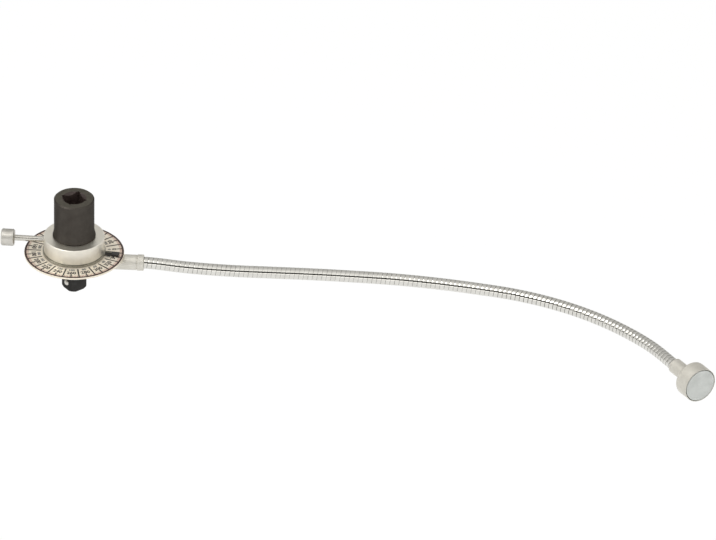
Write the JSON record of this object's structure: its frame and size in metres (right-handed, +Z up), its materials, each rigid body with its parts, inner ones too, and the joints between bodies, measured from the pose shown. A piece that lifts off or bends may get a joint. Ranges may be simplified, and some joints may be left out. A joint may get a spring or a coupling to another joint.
{
  "type": "torque angle gauge",
  "caption": "Square-drive torque angle gauge: a spindle turns in a fixed degree dial under a clamped pointer, and a bendable magnetic arm holds the dial still.",
  "frame": {"origin": "on the spindle's axis, at the end face of the male square, which stands on the surface", "axes": "+Z up the spindle to the square socket, +X along the ferrule of the arm, +Y to the left of the arm seen from above"},
  "size_m": [0.4847, 0.1543, 0.07],
  "materials": {
    "black_oxide_steel": "satin black oxide",
    "spring_steel": "dark phosphated",
    "polished_steel": "polished",
    "turned_steel": "fine turned, nickel plated",
    "satin_nickel": "satin nickel plate",
    "chromed_strip": "bright chrome plate",
    "brushed_aluminium": "brushed, printed scale",
    "plain_aluminium": "turned",
    "bearing_bronze": "oiled",
    "fibre": "matte",
    "magnet_plate": "matte zinc plate"
  },
  "bodies": {
    "dial": {"dial_hub": "plain_aluminium", "bearing_bush": "bearing_bronze", "dial_plate": "brushed_aluminium", "dial_screws": "polished_steel", "friction_washer": "fibre", "disc_spring": "spring_steel", "arm_ferrule": "satin_nickel", "arm_root": "chromed_strip"},
    "spindle": {"drive_spindle": "black_oxide_steel", "retaining_ring": "spring_steel", "thrust_washer": "polished_steel", "detent_spring": "spring_steel"},
    "detent": {"detent_ball": "polished_steel"},
    "collar": {"pointer_collar": "turned_steel", "pointer": "black_oxide_steel", "pointer_rivets": "polished_steel"},
    "pad": {"clamp_pad": "bearing_bronze"},
    "thumbscrew": {"clamp_screw": "polished_steel", "clamp_knob": "turned_steel"},
    "arm_01": {"arm_section_01": "chromed_strip"},
    "arm_02": {"arm_section_02": "chromed_strip"},
    "arm_03": {"arm_section_03": "chromed_strip"},
    "arm_04": {"arm_section_04": "chromed_strip"},
    "arm_05": {"arm_section_05": "chromed_strip"},
    "arm_06": {"arm_section_06": "chromed_strip"},
    "arm_07": {"arm_section_07": "chromed_strip"},
    "arm_08": {"arm_section_08": "chromed_strip"},
    "arm_09": {"arm_section_09": "chromed_strip"},
    "arm_10": {"arm_section_10": "chromed_strip"},
    "arm_11": {"arm_section_11": "chromed_strip"},
    "arm_12": {"arm_section_12": "chromed_strip"},
    "arm_13": {"arm_section_13": "chromed_strip"},
    "arm_14": {"arm_section_14": "chromed_strip", "magnet_holder": "satin_nickel", "magnet": "magnet_plate"}
  },
  "joints": [
    {"name": "spindle_turn", "type": "hinge", "parent": "dial", "child": "spindle", "pos_m": [0, 0, 0], "axis": [0, 0, 1], "continuous": true},
    {"name": "pointer_turn", "type": "hinge", "parent": "spindle", "child": "collar", "pos_m": [0, 0, 0], "axis": [0, 0, 1], "continuous": true},
    {"name": "pad_slide", "type": "slide", "parent": "collar", "child": "pad", "axis": [-0.9994, 0.0349, 0], "range_m": [0, 0.0014]},
    {"name": "thumbscrew_turn", "type": "hinge", "parent": "pad", "child": "thumbscrew", "pos_m": [-0.02998, 0.00105, 0.036], "axis": [-0.9994, 0.0349, 0], "range_deg": [0, 722]},
    {"name": "ball_press", "type": "slide", "parent": "spindle", "child": "detent", "axis": [-0.7771, -0.6293, 0], "range_m": [-0.0012, 0], "stiffness_N_per_m": 1500, "springref_m": 0.001, "deforming": ["detent_spring"]},
    {"name": "arm_lift_01", "type": "hinge", "parent": "dial", "child": "arm_01", "pos_m": [0.04869, 0, 0.0207], "axis": [-0.0592, -0.9982, 0], "range_deg": [-17, 23]},
    {"name": "arm_swing_02", "type": "hinge", "parent": "arm_01", "child": "arm_02", "pos_m": [0.0764, -0.00164, 0.01923], "axis": [0.0472, -0.0001, 0.9989], "range_deg": [-23.2, 16.8]},
    {"name": "arm_lift_03", "type": "hinge", "parent": "arm_02", "child": "arm_03", "pos_m": [0.10417, -0.00173, 0.01792], "axis": [0.053, -0.9986, 0], "range_deg": [-20.3, 19.7]},
    {"name": "arm_swing_04", "type": "hinge", "parent": "arm_03", "child": "arm_04", "pos_m": [0.1319, -0.00026, 0.01676], "axis": [0.0363, 0.0017, 0.9993], "range_deg": [-19.7, 20.3]},
    {"name": "arm_lift_05", "type": "hinge", "parent": "arm_04", "child": "arm_05", "pos_m": [0.15965, 0.00107, 0.01575], "axis": [0.0168, -0.9999, 0], "range_deg": [-20.3, 19.7]},
    {"name": "arm_swing_06", "type": "hinge", "parent": "arm_05", "child": "arm_06", "pos_m": [0.18744, 0.00154, 0.01488], "axis": [0.0264, -0.0004, 0.9997], "range_deg": [-18.2, 21.8]},
    {"name": "arm_lift_07", "type": "hinge", "parent": "arm_06", "child": "arm_07", "pos_m": [0.21522, 0.00114, 0.01415], "axis": [-0.0791, -0.9969, 0], "range_deg": [-20.3, 19.7]},
    {"name": "arm_swing_08", "type": "hinge", "parent": "arm_07", "child": "arm_08", "pos_m": [0.24293, -0.00105, 0.01354], "axis": [0.0175, -0.0024, 0.9998], "range_deg": [-16.6, 23.4]},
    {"name": "arm_lift_09", "type": "hinge", "parent": "arm_08", "child": "arm_09", "pos_m": [0.27046, -0.00489, 0.01305], "axis": [-0.1957, -0.9807, 0], "range_deg": [-20.2, 19.8]},
    {"name": "arm_swing_10", "type": "hinge", "parent": "arm_09", "child": "arm_10", "pos_m": [0.29772, -0.01033, 0.01266], "axis": [0.0096, -0.0033, 0.9999], "range_deg": [-12.1, 27.9]},
    {"name": "arm_lift_11", "type": "hinge", "parent": "arm_10", "child": "arm_11", "pos_m": [0.32398, -0.01944, 0.01238], "axis": [-0.4617, -0.887, 0], "range_deg": [-20.2, 19.8]},
    {"name": "arm_swing_12", "type": "hinge", "parent": "arm_11", "child": "arm_12", "pos_m": [0.34864, -0.03228, 0.01218], "axis": [0.0034, -0.0025, 1], "range_deg": [-11.6, 28.4]},
    {"name": "arm_lift_13", "type": "hinge", "parent": "arm_12", "child": "arm_13", "pos_m": [0.37117, -0.04856, 0.01207], "axis": [-0.6911, -0.7228, 0], "range_deg": [-20.1, 19.9]},
    {"name": "arm_swing_14", "type": "hinge", "parent": "arm_13", "child": "arm_14", "pos_m": [0.39126, -0.06778, 0.01201], "axis": [0.0003, -0.0003, 1], "range_deg": [-10.9, 29.1]}
  ],
  "couplings": [
    {"joint": "thumbscrew_turn", "follows": "pad_slide", "rad_per_m": 8976}
  ]
}
